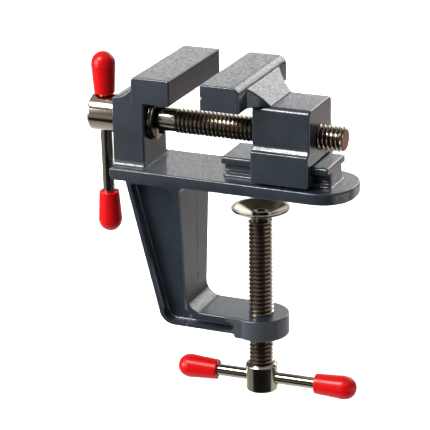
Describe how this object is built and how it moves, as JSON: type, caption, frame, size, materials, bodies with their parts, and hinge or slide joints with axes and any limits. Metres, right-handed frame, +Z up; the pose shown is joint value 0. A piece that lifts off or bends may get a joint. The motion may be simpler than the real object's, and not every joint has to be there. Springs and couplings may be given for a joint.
{
  "type": "table vise",
  "caption": "Small clamp-on table vise: cast C-shaped frame with a fixed jaw, a moving jaw driven along a rail by a screw, and a swivel-cup clamp screw underneath.",
  "frame": {"origin": "where the clamp screw's axis meets the underside of the base plate, the face that rests on the table", "axes": "+X along the main screw from the fixed jaw towards the moving jaw, +Y across the jaws, +Z up"},
  "size_m": [0.0789, 0.035, 0.0956],
  "materials": {
    "casting_enamel": "gloss",
    "plated_steel": "polished",
    "spring_steel": "satin",
    "cap_vinyl": "gloss"
  },
  "bodies": {
    "frame": {"frame_casting": "casting_enamel"},
    "jaw": {"moving_jaw": "casting_enamel"},
    "main_screw": {"main_screw": "plated_steel", "main_screw_head": "plated_steel", "retaining_washer": "plated_steel", "retaining_clip": "spring_steel"},
    "main_handle": {"main_handle_bar": "plated_steel", "main_handle_cap_upper": "cap_vinyl", "main_handle_cap_lower": "cap_vinyl"},
    "cup": {"swivel_cup": "plated_steel"},
    "clamp_screw": {"clamp_screw": "plated_steel", "clamp_screw_head": "plated_steel"},
    "clamp_handle": {"clamp_handle_bar": "plated_steel", "clamp_handle_cap_left": "cap_vinyl", "clamp_handle_cap_right": "cap_vinyl"}
  },
  "joints": [
    {"name": "main_screw_turn", "type": "hinge", "parent": "frame", "child": "main_screw", "pos_m": [-0.0192, 0, 0.0161], "axis": [1, 0, 0], "range_deg": [-4348, 2562]},
    {"name": "jaw_slide", "type": "slide", "parent": "frame", "child": "jaw", "axis": [1, 0, 0], "range_m": [-0.0089, 0.0151]},
    {"name": "main_handle_slide", "type": "slide", "parent": "main_screw", "child": "main_handle", "axis": [0, -0.0262, 0.9997], "range_m": [0, 0.0182]},
    {"name": "clamp_advance", "type": "slide", "parent": "frame", "child": "cup", "axis": [0, 0, 1], "range_m": [-0.0285, 0.0063]},
    {"name": "clamp_screw_turn", "type": "hinge", "parent": "cup", "child": "clamp_screw", "pos_m": [0, 0, -0.0309], "axis": [0, 0, 1], "range_deg": [-8207, 1813]},
    {"name": "clamp_handle_slide", "type": "slide", "parent": "clamp_screw", "child": "clamp_handle", "axis": [0.9992, 0.0401, 0], "range_m": [-0.0113, 0.0085]}
  ],
  "couplings": [
    {"joint": "jaw_slide", "follows": "main_screw_turn", "m_per_rad": -0.00019894},
    {"joint": "clamp_advance", "follows": "clamp_screw_turn", "m_per_rad": 0.00019894}
  ]
}
